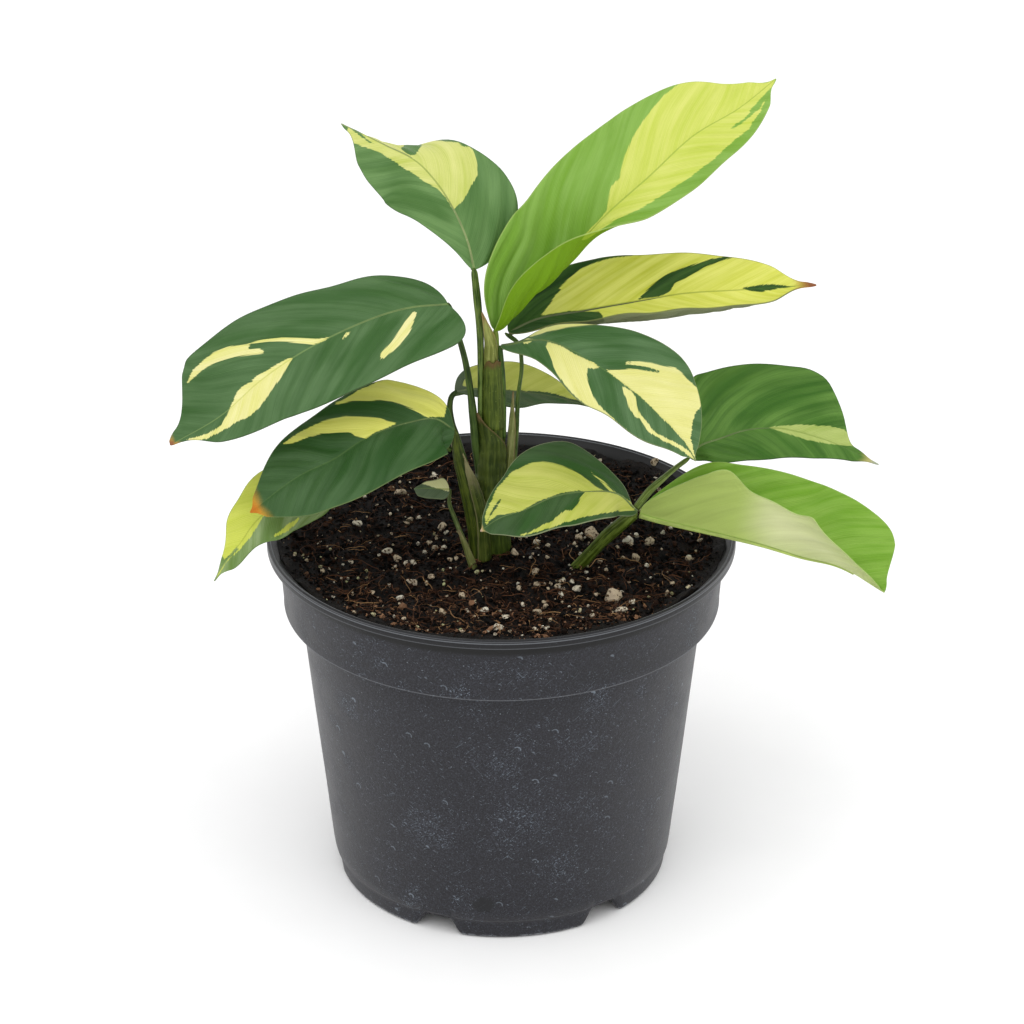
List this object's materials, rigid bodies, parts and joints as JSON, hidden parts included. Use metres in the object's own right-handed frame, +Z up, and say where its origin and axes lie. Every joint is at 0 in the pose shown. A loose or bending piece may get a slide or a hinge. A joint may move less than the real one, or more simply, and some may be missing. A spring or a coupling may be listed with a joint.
{
  "type": "potted calathea",
  "caption": "Variegated calathea with long stalked leaves, growing out of soil in a round plastic nursery pot that stands on notched feet.",
  "frame": {"origin": "middle of the bounding box on the floor; the pot's axis stands at x = -0.0111 m", "axes": "+X to the right as the plant is looked at from its front, +Y to the back, +Z up"},
  "size_m": [0.2437, 0.165, 0.2905],
  "materials": {
    "pot": "satin",
    "soil": "matte",
    "stem": "satin",
    "sheath": "matte",
    "leaf_dark": "satin",
    "leaf_bright": "satin",
    "leaf_lime": "satin"
  },
  "bodies": {
    "root": {"pot": "pot", "soil": "soil", "main_stem": "stem", "petiole_tall": "stem", "petiole_top_left": "stem", "petiole_middle_right": "stem", "petiole_right_upper": "stem", "petiole_left_large": "stem", "left_shoot": "stem", "petiole_back": "stem", "petiole_left_low": "stem", "petiole_tiny": "stem", "right_shoot": "stem", "petiole_right_dark": "stem", "main_sheath": "sheath", "sheath_right_upper": "sheath", "left_sheath": "sheath", "leaf_top_left": "leaf_dark", "leaf_tall": "leaf_bright", "leaf_right_upper": "leaf_lime", "leaf_middle_right": "leaf_dark", "leaf_left_large": "leaf_dark", "leaf_left_lower": "leaf_dark", "leaf_left_low": "leaf_dark", "leaf_back": "leaf_dark", "leaf_right_dark": "leaf_dark", "leaf_front_small": "leaf_dark", "leaf_front_right": "leaf_bright", "leaf_tiny": "leaf_dark"}
  },
  "joints": []
}
